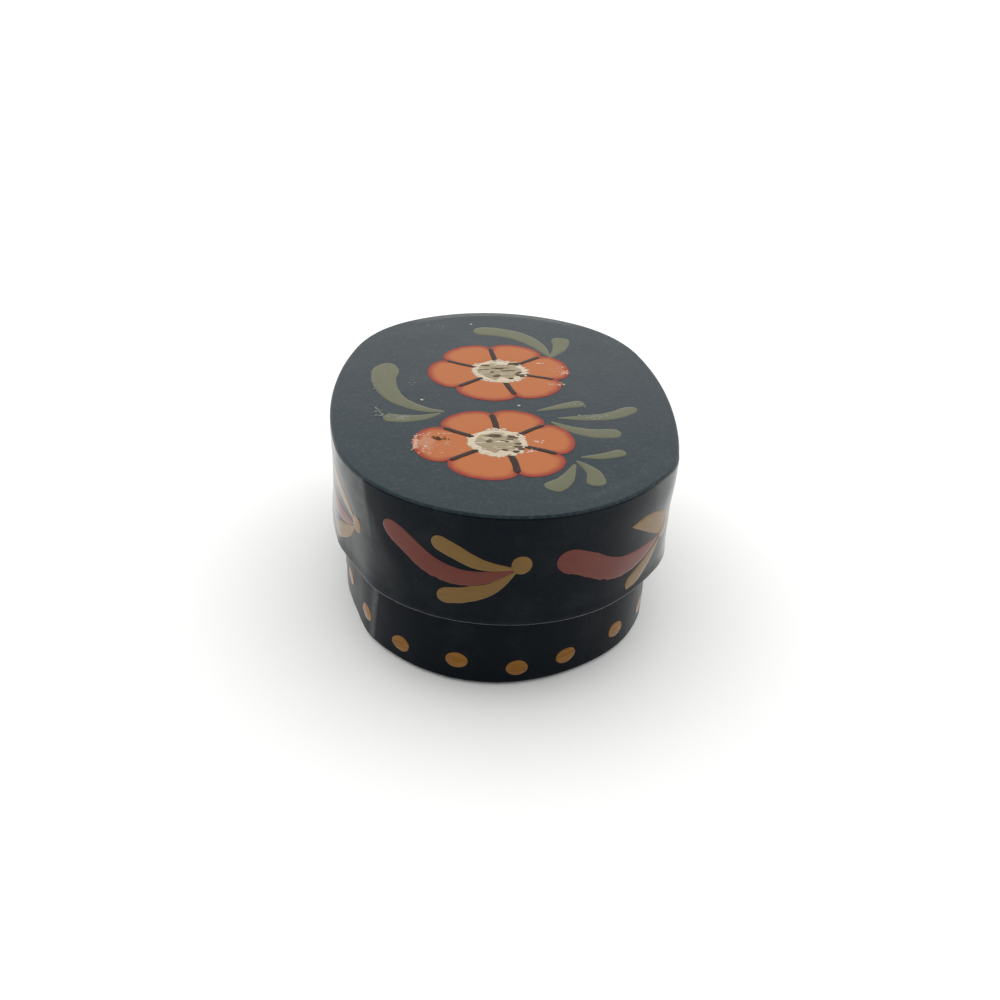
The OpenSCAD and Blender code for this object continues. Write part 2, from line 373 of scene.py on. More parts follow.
class BoxView(bpy.types.PropertyGroup):
    """The camera that sees the box as it was photographed."""

    distance: length_value("Distance", "Distance from the camera to the middle of the box", 157.4)
    elevation: angle_value("Elevation", "Angle of the camera above the table", 30)
    azimuth: angle_value("Azimuth", "Angle of the camera to the right of the front", -3.35)
    roll: angle_value("Roll", "How far the camera is turned about its own view", 2.95)
    lens: FloatProperty(name="Lens", description="Focal length", default=36.9, subtype="DISTANCE_CAMERA")
    shift_x: FloatProperty(name="Shift right", description="Sideways shift of the frame", default=0.0021)
    shift_y: FloatProperty(name="Shift up", description="Upward shift of the frame", default=-0.0229)
    seed: IntProperty(name="Seed", description="Seed of the hand-made unevenness", default=7)


def smooth(low, high, value):
    """Goes from 0 at low to 1 at high without a corner."""
    t = min(1, max(0, (value - low) / (high - low)))
    return t * t * (3 - 2 * t)


def out_of_true(turn, places):
    """Sum of the swellings near a direction."""
    total = 0
    for amount, middle, reach in places:
        away = (turn - math.radians(middle) + math.pi) % FULL_TURN - math.pi
        total += amount * math.exp(-((away / math.radians(reach)) ** 2))
    return total


class Oval:
    """The lid's upper edge: two end arcs and two side arcs on common tangents. Layers are offsets of it."""

    def __init__(self, half_w, half_l, side_r, swells):
        self.swells = swells
        self.side_r = side_r
        self.end_r = (2 * side_r * half_w - half_w**2 - half_l**2) / (2 * (side_r - half_l))
        self.side_x = side_r - half_w
        self.end_y = half_l - self.end_r
        self.side_half = math.atan2(self.end_y, self.side_x)

    def at(self, turn, offset, z=0.0):
        """The point whose outward direction is turn, moved outward by an offset."""
        c, s = math.cos(turn), math.sin(turn)
        offset += out_of_true(turn, self.swells) * MM
        if abs(s) < math.sin(self.side_half):
            radius = self.side_r + offset
            return Vector((radius * c - math.copysign(self.side_x, c), radius * s, z))
        radius = self.end_r + offset
        return Vector((radius * c, radius * s + math.copysign(self.end_y, s), z))

    def nearest(self, x, y):
        """Outward direction at a point, and how far inside the edge it lies."""
        if math.atan2(abs(y), abs(x) + self.side_x) < self.side_half:
            across, along, radius = x + math.copysign(self.side_x, x), y, self.side_r
        else:
            across, along, radius = x, y - math.copysign(self.end_y, y), self.end_r
        turn = math.atan2(along, across)
        return turn, radius - math.hypot(across, along) + out_of_true(turn, self.swells) * MM

    def arcs(self, offset):
        """Sweep and radius of each arc, from the middle of the front round to the right."""
        end = (math.pi / 2 - self.side_half, self.end_r + offset)
        side = (2 * self.side_half, self.side_r + offset)
        return (end, side, end, end, side, end)

    def length(self, offset):
        """Length of the whole outline."""
        return sum(sweep * radius for sweep, radius in self.arcs(offset))

    def turn(self, run, offset):
        """Direction of the place at a run along the outline from the middle of the front."""
        run %= self.length(offset)
        turn = FRONT
        for sweep, radius in self.arcs(offset):
            if run <= sweep * radius:
                return turn + run / radius
            run -= sweep * radius
            turn += sweep
        return turn

    def run(self, turn, offset):
        """Run along the outline from the middle of the front to a direction."""
        ahead = (turn - FRONT) % FULL_TURN
        run = 0
        for sweep, radius in self.arcs(offset):
            run += min(ahead, sweep) * radius
            ahead -= min(ahead, sweep)
        return run


class Wall:
    """A painted wall. A run along it and a height give a point of its face, moved off by a rise."""

    def __init__(self, shape, face, low, high, flare, swells, lap_run, lean, lap_t, brow):
        self.shape = shape
        self.brow = brow
        self.oval = Oval(HALF_W, HALF_L, shape.side_r, swells)
        self.face, self.low, self.high = face, low, high
        self.flare = flare
        self.lap_run, self.lean, self.lap_t = lap_run, lean, lap_t
        self.length = self.oval.length(face)

    def past(self, turn, z):
        """How far behind the leaning cut end of the lap a place lies."""
        leaned = self.lean * (z - (self.low + self.high) / 2)
        return self.length - self.lap_run - self.oval.run(turn, self.face) + leaned

    def lap(self, turn, z):
        """Height of the lap, cut off at its right end and rubbed flat at its left and low down."""
        past = self.past(turn, z)
        cut = smooth(-LAP_SOFT, LAP_SOFT, past)
        low, high = self.lap_t
        thick = LAYER * max(0, low + (high - low) * smooth(self.low, self.high, z))
        return thick * cut * (1 - smooth(0.5 * self.shape.lap_l, 1.5 * self.shape.lap_l, past))

    def bent(self, turn, z):
        """Offset of the wall without its lap: sprung, creased flat behind the lap, and uneven."""
        shape = self.shape
        low = smooth(self.high, self.low, z)
        share = min(1, max(0, self.past(turn, z) / shape.crease_l))
        crease = shape.crease * math.sin(math.pi * share) ** 2 * (0.5 + 0.5 * low)
        p = self.oval.at(turn, self.face)
        slow = noise.noise(Vector((p.x, p.y, 0.6 * z)) / WAVE_L)
        flute = noise.noise(Vector((p.x, p.y, 0.15 * z)) / FLUTE_L)
        uneven = (shape.slow_wave * slow + shape.flute * flute) * (0.35 + 0.65 * low)
        sprung = self.flare * (1 - out_of_true(turn, HELD_IN)) * (self.high - z) / (self.high - self.low)
        return self.face + sprung - crease + uneven

    def offset(self, turn, z):
        """Offset of the painted face at a height. Under a board it runs out to the board's edge."""
        over = smooth(self.high - self.brow, self.high + 0.1 * MM, z) if self.brow else 0
        return (self.bent(turn, z) + self.lap(turn, z)) * (1 - over)

    def leaned(self, turn, z):
        """A direction near the lap, leaned with the lap's cut end."""
        end = self.oval.turn(-self.lap_run, self.face)
        near = 1 - smooth(0.1, 0.6, abs((turn - end + math.pi) % FULL_TURN - math.pi))
        return turn + near * self.lean * (z - (self.low + self.high) / 2) / self.oval.end_r

    def turns(self):
        """Directions round the wall, close together at the cut end of its lap."""
        end = self.oval.turn(-self.lap_run, self.face)
        close = [end + cut / self.oval.end_r for cut in LAP_CUTS]
        apart = 0.7 * FULL_TURN / WALL_TURNS
        return sorted([turn for turn in EVEN_TURNS if abs(turn - end) > apart] + close)

    def point(self, run, z, rise):
        """A point of the painted face, moved off it by a rise."""
        turn = self.oval.turn(run, self.face)
        return self.oval.at(turn, self.offset(turn, z) + rise, z)


class LidTop:
    """The painted top of the lid. Two places give a point of its face, moved off by a rise."""

    def __init__(self, shape):
        self.shape = shape
        self.oval = Oval(HALF_W, HALF_L, shape.side_r, LID_SWELLS)

    def height(self, x, y):
        """Height of the sheet, draped over the folded edge under it and pressed down at its own edge."""
        turn, inset = self.oval.nearest(x, y)
        half = self.shape.drape / 2
        draped = smooth(self.shape.flange - half, self.shape.flange + half, inset)
        draped *= EVEN_DIP + out_of_true(turn, RIDGES)
        cockle = noise.noise(Vector((x, y, 0)) / COCKLE_L) * smooth(0, 5 * MM, inset)
        edge = 1 - min(1, max(0, (inset - SHEET_EDGE) / (0.25 * MM)))
        pressed = (LID_TOP - LID_FOLD) * (1 - math.sqrt(1 - edge**2))
        return LID_TOP - self.shape.dip * draped + COCKLE * cockle - pressed

    def point(self, x, y, rise):
        """A point of the painted face, moved off it by a rise."""
        return Vector((x, y, self.height(x, y) + rise))


def bend(x, z, radius, start, stop):
    """Points along a bend in a section, from one angle to another in degrees."""
    angles = [math.radians(start + (stop - start) * i / BEND_STEPS) for i in range(BEND_STEPS + 1)]
    return [(x + radius * math.cos(a), z + radius * math.sin(a)) for a in angles]


def thickened(path, thickness):
    """A closed section: the path, and back along its left side at a thickness."""
    inner = []
    for i, (x, z) in enumerate(path):
        x0, z0 = path[max(0, i - 1)]
        x1, z1 = path[min(len(path) - 1, i + 1)]
        along = Vector((x1 - x0, z1 - z0)).normalized()
        inner.append((x - along.y * thickness, z + along.x * thickness))
    return path + inner[::-1]


def smooth_path(points, rows):
    """Places and sideways directions along a smooth line through points, closer together at its ends."""
    knots = [Vector(p) for p in points]
    knots = [2 * knots[0] - knots[1], *knots, 2 * knots[-1] - knots[-2]]
    spans = len(points) - 1
    line = []
    for i in range(rows):
        share = 0.5 - 0.5 * math.cos(math.pi * i / (rows - 1))
        k = min(spans - 1, int(share * spans))
        t = share * spans - k
        a, b, c, d = knots[k : k + 4]
        bow = 2 * a - 5 * b + 4 * c - d
        twist = 3 * b - a - 3 * c + d
        place = b + 0.5 * ((c - a) * t + bow * t**2 + twist * t**3)
        along = c - a + 2 * bow * t + 3 * twist * t**2
        side = Vector((-along.y, along.x)).normalized()
        line.append((place, side, share))
    return line


def leaf(taper):
    """Breadth along a leaf: a round head, and a tail that thins out early or late."""

    def swell(share):
        head = 0.14
        tail = 1 - 0.86 * max(0, (share - head) / (1 - head)) ** taper
        return tail * math.sqrt(max(0, 1 - max(0, 1 - share / head) ** 2))

    return swell


def full(share):
    """Breadth along a full stroke: round at its head, and slow to thin out."""
    head = 0.13
    if share < head:
        return math.sqrt(max(0, 1 - (1 - share / head) ** 2))
    return (1 - ((share - head) / (1 - head)) ** 2.4) ** 0.9


def line(share):
    """Breadth along a line that is even between its round ends."""
    end = min(1, min(share, 1 - share) / 0.12)
    return math.sqrt(max(0, 1 - (1 - end) ** 2))


def blob(share):
    """Breadth along a dab that is round at both ends."""
    return math.sqrt(max(0, 1 - (2 * share - 1) ** 2))


class PaintLayer:
    """Raised patches of one paint on one surface, gathered into a single piece."""

    def __init__(self, surface):
        self.surface = surface
        self.points, self.faces, self.places = [], [], []

    def patch(self, rows):
        """Adds a closed patch from rows of spots: place across and up, rise, and place in the paint."""
        n, m = len(rows), len(rows[0])
        first = len(self.points)
        for sunk in (False, True):
            for u, v, rise, along, side in (spot for row in rows for spot in row):
                self.points.append(self.surface.point(u, v, min(rise, 0) - SINK if sunk else rise))
                self.places.append((along, side))
        under = n * m
        for i in range(n - 1):
            for j in range(m - 1):
                near, far = first + i * m + j, first + (i + 1) * m + j
                quad = [near, near + 1, far + 1, far]
                self.faces.append(quad)
                self.faces.append([under + k for k in reversed(quad)])
        rim = list(range(m)) + [i * m + m - 1 for i in range(1, n)]
        rim += [(n - 1) * m + j for j in range(m - 2, -1, -1)] + [i * m for i in range(n - 2, 0, -1)]
        for a, b in zip(rim, rim[1:] + rim[:1]):
            self.faces.append([first + b, first + a, first + under + a, first + under + b])

    def stroke(self, breadth, points, swell, ragged, rows, thick, seed, lift=0.0):
        """Adds one pull of a loaded brush, in metres."""
        path = smooth_path(points, rows)
        long = sum((b[0] - a[0]).length for a, b in zip(path, path[1:]))
        patch = []
        for place, side, share in path:
            row = []
            for c in ACROSS:
                edge = noise.noise(Vector((share * long / RAGGED_L, c, seed * 3.7)))
                half = max(LEAST_HALF, breadth / 2 * swell(share) * (1 + ragged * edge * abs(c)))
                spot = place + side * (half * c)
                ridge = 0.88 + 0.12 * noise.noise(Vector((c * 3.1, share * long / RIDGE_L, seed)))
                rise = lift - 0.5 * SINK if abs(c) == 1 else lift + thick * ridge * (1 - c**4)
                row.append((spot.x, spot.y, rise, share * long / MM, c * half / MM + 20 * seed))
            patch.append(row)
        self.patch(patch)

    def dab(self, spot, reach, breadth, ragged, rows, thick, seed, lift=0.0):
        """Adds one short dab, round at both ends."""
        self.stroke(breadth, (spot - reach, spot, spot + reach), blob, ragged, rows, thick, seed, lift)

    def piece(self, name, material, body):
        """Makes the patches into a piece that rides on a body."""
        made = new_piece(name, self.points, self.faces, material, body)
        layer = made.data.uv_layers.new(name="brush")
        for loop in made.data.loops:
            layer.data[loop.index].uv = self.places[loop.vertex_index]
        return made


def new_piece(name, points, faces, material, body, replaced=()):
    """Makes a mesh piece with its normals outward, riding on a body."""
    mesh = bpy.data.meshes.new(name)
    mesh.from_pydata(points, [], faces)
    made = bmesh.new()
    made.from_mesh(mesh)
    bmesh.ops.recalc_face_normals(made, faces=made.faces)
    made.to_mesh(mesh)
    made.free()
    mesh.shade_smooth()
    mesh.set_sharp_from_angle(angle=math.radians(50))
    mesh.materials.append(material)
    piece = bpy.data.objects.new(name, mesh)
    bpy.context.scene.collection.objects.link(piece)
    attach(piece, body)
    if replaced:
        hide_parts(*replaced)
    return piece


def loft_faces(rows, columns, closed):
    """Quads between neighbouring rings of points, and from the last ring to the first where it is closed."""
    faces = []
    for i in range(rows if closed else rows - 1):
        near, far = i * columns, (i + 1) % rows * columns
        for j in range(columns):
            k = (j + 1) % columns
            faces.append([near + j, near + k, far + k, far + j])
    return faces


def feed(tree, node, inputs):
    """Sets a node's inputs: constants, or links from sockets or from the first outputs of other nodes."""
    for name, value in inputs.items():
        if isinstance(value, bpy.types.Node):
            value = value.outputs[0]
        if isinstance(value, bpy.types.NodeSocket):
            tree.links.new(value, node.inputs[name])
        else:
            node.inputs[name].default_value = value


def add(tree, kind, inputs=None, **settings):
    """Adds a node, with its settings and its inputs."""
    made = tree.nodes.new("ShaderNode" + kind)
    for name, value in settings.items():
        setattr(made, name, value)
    feed(tree, made, inputs or {})
    return made


def new_material(name):
    """An empty material, and the tree and shader that it starts from."""
    material = bpy.data.materials.new(name)
    material.use_nodes = True
    tree = material.node_tree
    tree.nodes.clear()
    shader = add(tree, "BsdfPrincipled")
    add(tree, "OutputMaterial", {"Surface": shader})
    return material, tree, shader


def solid(colour):
    """A colour with full opacity."""
    return (*colour, 1)


def per_mm(*sizes):
    """Pattern scale along each axis from feature sizes in millimetres."""
    return [1 / (size * MM) for size in sizes]


def black_paint(name, ground, streaks, rough, dust):
    """Acrylic paint brushed on pasted paper and varnished satin.

    It is near black; rubbed places, painted highlights along edges and laps, and a painted sheen on the
    walls' flanks lighten its colour, and brush ridges break the sheen up.
    """
    colours = box_colours()
    material, tree, shader = new_material(name)
    place = add(tree, "TexCoord").outputs["Object"]
    along = add(tree, "Mapping", {"Vector": place, "Scale": per_mm(*streaks)})
    ridges = add(tree, "TexNoise", {"Vector": along, "Scale": 1, "Detail": 4, "Roughness": 0.6})
    cloud = add(tree, "TexNoise", {"Vector": place, "Scale": per_mm(7)[0], "Detail": 5, "Roughness": 0.62})
    rubbed = add(tree, "MapRange", {"Value": cloud, "From Min": 0.5, "From Max": 0.78, "To Max": 0.06})
    # Rubbed paint, with painted highlights along edges, laps and the lid's far rim
    wear = add(tree, "Attribute", attribute_name="wear")
    grain = add(tree, "TexNoise", {"Vector": place, "Scale": per_mm(0.5)[0], "Detail": 3, "Roughness": 0.7})
    worn = add(tree, "Math", {0: wear.outputs["Fac"], 1: grain, 2: rubbed}, operation="MULTIPLY_ADD")
    # Coarser dust has settled thicker in the grain
    settled = 6 * dust[1] ** 4
    speckle = add(tree, "MapRange", {"Value": grain, "From Min": 0.5, "From Max": 0.8, "To Max": settled})
    bare = add(tree, "Math", {0: worn, 1: speckle}, operation="ADD")
    # Painted sheen: a pale colour on the walls' flanks standing in for the floor's reflection, in patches
    painted_sheen = add(tree, "Attribute", attribute_name="painted_sheen")
    patches = {"Value": cloud, "From Min": 0.3, "From Max": 0.7}
    painted_sheen_patches = add(tree, "MapRange", {**patches, "To Min": 0.2, "To Max": 1.1})
    # How pale: rubbed paint and painted highlights, plus the patchy painted sheen
    painted_sheen_inputs = {0: painted_sheen.outputs["Fac"], 1: painted_sheen_patches, 2: bare}
    thin = add(tree, "Math", painted_sheen_inputs, operation="MULTIPLY_ADD", use_clamp=True)
    shades = {"Factor": thin, "A": solid(ground), "B": solid(colours.worn)}
    colour = add(tree, "Mix", shades, data_type="RGBA").outputs[2]
    gloss = add(tree, "MapRange", {**patches, "To Min": rough - 0.06, "To Max": rough + 0.06})
    bump = add(tree, "Bump", {"Height": ridges, "Strength": 0.2, "Distance": 0.06 * MM})
    feed(tree, shader, {"Base Color": colour, "Roughness": gloss, "Normal": bump})
    feed(tree, shader, {"Specular IOR Level": SPECULAR, "Sheen Weight": dust[0], "Sheen Roughness": dust[1]})
    return material


def brushed_paint(name, colour, deep, rough=0.5, dust=(0.3, 0.3)):
    """Acrylic craft paint laid with one pull of a round brush.

    Hair marks run along the stroke, darker where the paint is thin and paler where it gathers.
    """
    material, tree, shader = new_material(name)
    place = add(tree, "UVMap", uv_map="brush").outputs[0]
    along = add(tree, "Mapping", {"Vector": place, "Scale": (1 / 3.5, 1 / 0.32, 1)})
    hairs = add(tree, "TexNoise", {"Vector": along, "Scale": 1, "Detail": 4, "Roughness": 0.6})
    body = add(tree, "MapRange", {"Value": hairs, "From Min": 0.32, "From Max": 0.62})
    shades = {"Factor": body, "A": solid(linear(deep)), "B": solid(colour)}
    mixed = add(tree, "Mix", shades, data_type="RGBA").outputs[2]
    bump = add(tree, "Bump", {"Height": hairs, "Strength": 0.2, "Distance": 0.05 * MM})
    feed(tree, shader, {"Base Color": mixed, "Roughness": rough, "Normal": bump})
    feed(tree, shader, {"Specular IOR Level": SPECULAR, "Sheen Weight": dust[0], "Sheen Roughness": dust[1]})
    return material


def petal_paint():
    """Orange acrylic floated over with red while wet, so each petal shades to a red rim."""
    colours = box_colours()
    material, tree, shader = new_material("Petal paint, shaded wet to a red rim")
    place = add(tree, "UVMap", uv_map="brush").outputs[0]
    parts = add(tree, "SeparateXYZ", {"Vector": place})
    blot = add(tree, "TexNoise", {"Vector": place, "Scale": 0.8, "Detail": 3})
    reach = add(tree, "Math", {0: blot, 1: 0.7, 2: parts.outputs["X"]}, operation="MULTIPLY_ADD")
    shading = {"Value": reach, "From Min": 0.45, "From Max": 1.7}
    inside = add(tree, "MapRange", shading, interpolation_type="SMOOTHSTEP")
    shades = {"Factor": inside, "A": solid(colours.rim), "B": solid(colours.orange)}
    mixed = add(tree, "Mix", shades, data_type="RGBA").outputs[2]
    along = add(tree, "Mapping", {"Vector": place, "Scale": (1 / 4, 1 / 0.4, 1)})
    hairs = add(tree, "TexNoise", {"Vector": along, "Scale": 1, "Detail": 3})
    bump = add(tree, "Bump", {"Height": hairs, "Strength": 0.3, "Distance": 0.05 * MM})
    feed(tree, shader, {"Base Color": mixed, "Roughness": 0.5, "Normal": bump})
    feed(tree, shader, {"Specular IOR Level": SPECULAR})
    return material


def fibre_board(name, colour, fleck):
    """Pulped card or kraft paper: matte, with short fibres and darker flecks."""
    material, tree, shader = new_material(name)
    place = add(tree, "TexCoord").outputs["Object"]
    along = add(tree, "Mapping", {"Vector": place, "Scale": per_mm(1.6, 0.35, 0.35)})
    fibres = add(tree, "TexNoise", {"Vector": along, "Scale": 1, "Detail": 6, "Roughness": 0.7})
    flecks = add(tree, "TexNoise", {"Vector": place, "Scale": per_mm(0.7)[0], "Detail": 2})
    dark = add(tree, "MapRange", {"Value": flecks, "From Min": 0.58, "From Max": 0.72, "To Max": 0.6})
    pale = [min(1, c * 1.18) for c in colour]
    shades = {"Factor": fibres, "A": solid(colour), "B": solid(pale)}
    pulp = add(tree, "Mix", shades, data_type="RGBA").outputs[2]
    flecked = {"Factor": dark, "A": pulp, "B": solid(linear(fleck))}
    mixed = add(tree, "Mix", flecked, data_type="RGBA").outputs[2]
    bump = add(tree, "Bump", {"Height": fibres, "Strength": 0.5, "Distance": 0.06 * MM})
    feed(tree, shader, {"Base Color": mixed, "Roughness": 0.9, "Normal": bump})
    return material


def box_colours():
    """The colours that the user has set."""
    return bpy.context.scene.trinket_colours


def paint_once(name, make, *values):
    """The material of that name, made the first time it is asked for."""
    return bpy.data.materials.get(name) or make(name, *values)


def greyboard():
    """Raw card with dark flecks of pulp."""
    return paint_once("Raw greyboard, pulped and pressed", fibre_board, box_colours().card, "#6f675a")


def lid_paint():
    """Black paint with upright brush marks, dulled by hands, its flanks lightened by painted sheen."""
    name = "Satin black acrylic, brushed upright and handled"
    return paint_once(name, black_paint, box_colours().ground, UPRIGHT, 0.38, (0.9, 0.28))


def base_paint():
    """Black paint with upright brush marks, kept cleaner low down."""
    name = "Satin black acrylic, brushed upright"
    return paint_once(name, black_paint, box_colours().ground, UPRIGHT, 0.32, (0.25, 0.26))


def sheet_paint():
    """Black paint brushed across, lightened to blue-grey on the top as painted reflection."""
    name = "Satin black acrylic, brushed across and faded"
    return paint_once(name, black_paint, box_colours().faded, CROSSWISE, 0.52, (0.21, 0.43))


def lid_wall(shape):
    """The lid's painted wall."""
    lap = (shape.lid_lap, *LID_LAP)
    return Wall(shape, -shape.overhang, LID_LOW, LID_BOARD, shape.flare, LID_SWELLS, *lap, shape.brow)


def base_wall(shape):
    """The base's painted wall."""
    return Wall(shape, BASE_FACE, LAYER, BASE_RIM, 0, BASE_SWELLS, shape.base_lap, *BASE_LAP, 0)


def mark_wear_highlights_and_sheen(piece, wall, edge, lap_wear, painted_sheen):
    """Marks rubbed paint and painted highlights along an edge and the lap's cut end, and painted sheen."""
    rubbed = piece.data.attributes.new("wear", "FLOAT", "POINT")
    painted_sheen_marks = piece.data.attributes.new("painted_sheen", "FLOAT", "POINT")
    for i, vertex in enumerate(piece.data.vertices):
        x, y, z = vertex.co
        turn = wall.oval.nearest(x, y)[0]
        past = wall.past(turn, z)
        # Rubbed paint along the lap's cut end and the edge, which also paints the highlights they catch
        lap = lap_wear * smooth(-LAP_SOFT, 0.1 * MM, past) * (1 - smooth(0.5 * MM, 2 * MM, past))
        rubbed.data[i].value = max(lap, EDGE_WEAR_AND_HIGHLIGHT * (1 - smooth(0, 0.8 * MM, abs(z - edge))))
        # Painted sheen on the flanks and behind the lap, standing in for the floor's reflection, weaker low
        # down
        low = smooth(wall.high, wall.low, z)
        begun = smooth(-(0.3 + 8 * low) * MM, (1 + 5 * low) * MM, past)
        behind = LAP_PAINTED_SHEEN * begun * (1 - smooth(*LAP_PAINTED_SHEEN_END, past))
        painted_sheen_marks.data[i].value = painted_sheen * max(behind, out_of_true(turn, PAINTED_SHEEN)) * (1 - 0.78 * low)


def wrapped_wall(name, wall, section, material, node, body):
    """Makes the paper round a wall from a section for each direction."""
    turns = wall.turns()
    points = []
    for turn in turns:
        path = thickened(section(turn), wall.shape.paper_t)
        points += [wall.oval.at(wall.leaned(turn, z), offset, z) for offset, z in path]
    faces = loft_faces(len(turns), len(points) // len(turns), True)
    return new_piece(name, points, faces, material, body, [node])


def card_wall(name, wall, heights, node, body):
    """Makes a card strip bent into a wall, with skived ends that meet at the back."""
    back = -FRONT
    strip_t = wall.shape.strip_t
    radius = wall.oval.end_r + wall.face - LAYER - strip_t
    half = wall.shape.skive_l / 2 / radius
    gap = CARD_GAP / radius
    low, high = heights
    levels = [low + (high - low) * i / CARD_ROWS for i in range(CARD_ROWS + 1)]
    count = WALL_TURNS // 2
    points = []
    for i in range(count):
        turn = back + gap + (FULL_TURN - 2 * gap) * i / (count - 1)
        slant = max(0, half - min(turn - back, back + FULL_TURN - turn) / 4)
        outer, inner = turn - slant, turn + slant
        points += [wall.oval.at(outer, wall.bent(outer, z) - LAYER, z) for z in reversed(levels)]
        points += [wall.oval.at(inner, wall.bent(inner, z) - LAYER - strip_t, z) for z in levels]
    columns = 2 * len(levels)
    faces = loft_faces(count, columns, False)
    faces += [list(range(columns)), list(range((count - 1) * columns, count * columns))]
    return new_piece(name, points, faces, greyboard(), body, [node])


class TRINKET_OT_lid_wall(bpy.types.Operator):
    """Wraps painted paper round the lid's wall, turned in below and folded over the board above"""

    bl_idname = "trinket.lid_wall"
    bl_label = "Lid wall"

    def execute(self, context):
        shape = context.scene.trinket_shape
        wall = lid_wall(shape)
        r = shape.fold_r
        inward = 2 * LAYER + shape.strip_t
        heights = [LID_LOW + r + (LID_FOLD - r - LID_LOW - r) * i / WALL_ROWS for i in range(WALL_ROWS + 1)]

        def section(turn):
            tucked = LID_LOW + shape.turn_in
            low = wall.leaned(turn, LID_LOW)
            path = [(wall.bent(wall.leaned(turn, tucked), tucked) - inward, tucked)]
            path += bend(wall.bent(low, LID_LOW) - inward + r, LID_LOW + r, r, 180, 270)
            path += bend(wall.offset(low, LID_LOW) + shape.bead - r, LID_LOW + r, r, 270, 360)
            for z in heights:
                bead = shape.bead * (1 - smooth(LID_LOW + 2 * r, LID_LOW + 3.5 * r, z))
                path.append((wall.offset(wall.leaned(turn, z), z) + bead, z))
            path += bend(-0.6 * r, LID_FOLD - 0.6 * r, 0.6 * r, 0, 90)
            path.append((-shape.flange, LID_FOLD))
            return path

        piece = wrapped_wall("lid_wall_paper", wall, section, lid_paint(), "lid_rim_wrap", "lid")
        mark_wear_highlights_and_sheen(piece, wall, LID_LOW, *LID_WEAR_AND_SHEEN)
        return {"FINISHED"}


class TRINKET_OT_base_wall(bpy.types.Operator):
    """Wraps painted paper round the base's wall, folded under the floor and turned in over the rim"""

    bl_idname = "trinket.base_wall"
    bl_label = "Base wall"

    def execute(self, context):
        shape = context.scene.trinket_shape
        wall = base_wall(shape)
        r = shape.fold_r
        inward = 2 * LAYER + shape.strip_t
        heights = [LAYER + r + (BASE_RIM - LAYER - 2 * r) * i / WALL_ROWS for i in range(WALL_ROWS + 1)]

        def section(turn):
            tucked = BASE_RIM - shape.turn_in
            low, high = wall.leaned(turn, LAYER), wall.leaned(turn, BASE_RIM)
            path = [(wall.face - shape.flange, LAYER)]
            path += bend(wall.offset(low, LAYER) - r, LAYER + r, r, 270, 360)
            path += [(wall.offset(wall.leaned(turn, z), z), z) for z in heights]
            path += bend(wall.offset(high, BASE_RIM) - r, BASE_RIM - r, r, 0, 90)
            path += bend(wall.bent(high, BASE_RIM) - inward + r, BASE_RIM - r, r, 90, 180)
            path.append((wall.bent(wall.leaned(turn, tucked), tucked) - inward, tucked))
            return path

        piece = wrapped_wall("base_wall_paper", wall, section, base_paint(), "base_wall_wrap", "base")
        mark_wear_highlights_and_sheen(piece, wall, BASE_RIM, *BASE_WEAR_AND_SHEEN)
        return {"FINISHED"}


class TRINKET_OT_sheets(bpy.types.Operator):
    """Lays the painted sheet on the lid and the one under the base"""

    bl_idname = "trinket.sheets"
    bl_label = "Covering sheets"

    def execute(self, context):
        shape = context.scene.trinket_shape
        top = LidTop(shape)
        back = LID_FOLD + BACK_GAP
        self.lay(top.oval, SHEET_EDGE, top.height, back, "lid_top_paper", "lid_top_sheet", "lid")
        oval = Oval(HALF_W, HALF_L, shape.side_r, BASE_SWELLS)

        def under(x, y):
            inset = oval.nearest(x, y)[1] + BASE_FACE
            half = shape.drape / 2
            edge = (1 - min(1, max(0, (inset - FOOT_EDGE) / (0.3 * MM)))) ** 2
            lifted = smooth(shape.flange - half, shape.flange + half, inset)
            return LAYER * (lifted + 0.6 * edge)

        edge, back = FOOT_EDGE - BASE_FACE, LAYER - BACK_GAP
        self.lay(oval, edge, under, back, "base_underside_paper", "base_underside_sheet", "base")
        return {"FINISHED"}

    def lay(self, oval, edge, height, back, name, node, body):
        """Lays one sheet from its edge to the middle, with a flat back."""
        insets = [edge + SHEET_BAND * (i / SHEET_RINGS) ** 1.5 for i in range(SHEET_RINGS + 1)]
        flat = [[oval.at(turn, -inset) for turn in EVEN_TURNS] for inset in insets]
        flat += [[p * (1 - i / SHEET_RINGS) for p in flat[-1]] for i in range(1, SHEET_RINGS)]
        rings = [[oval.at(turn, -edge, back) for turn in EVEN_TURNS]]
        rings += [[Vector((p.x, p.y, height(p.x, p.y))) for p in ring] for ring in flat]
        points = [p for ring in rings for p in ring]
        faces = loft_faces(len(rings), WALL_TURNS, False)
        faces.append(list(range(WALL_TURNS)))
        middle = len(points)
        last = middle - WALL_TURNS
        points.append(Vector((0, 0, height(0, 0))))
        faces += [[last + j, last + (j + 1) % WALL_TURNS, middle] for j in range(WALL_TURNS)]
        piece = new_piece(name, points, faces, sheet_paint(), body, [node])
        attribute = piece.data.attributes.new("wear", "FLOAT", "POINT")
        for i, vertex in enumerate(piece.data.vertices):
            turn, inset = oval.nearest(vertex.co.x, vertex.co.y)
            past = inset - edge
            # A painted highlight line just inside the lid's far rim, and rubbed paint at the sheet's edge
            pale = smooth(0.2 * MM, 0.6 * MM, past) * (1 - smooth(1.2 * MM, 2 * MM, past))
            far = FAR_RIM_HIGHLIGHT * smooth(0.75, 0.93, math.sin(turn)) * pale
            attribute.data[i].value = max(far, SHEET_WEAR * (1 - smooth(0, 0.5 * MM, past)))


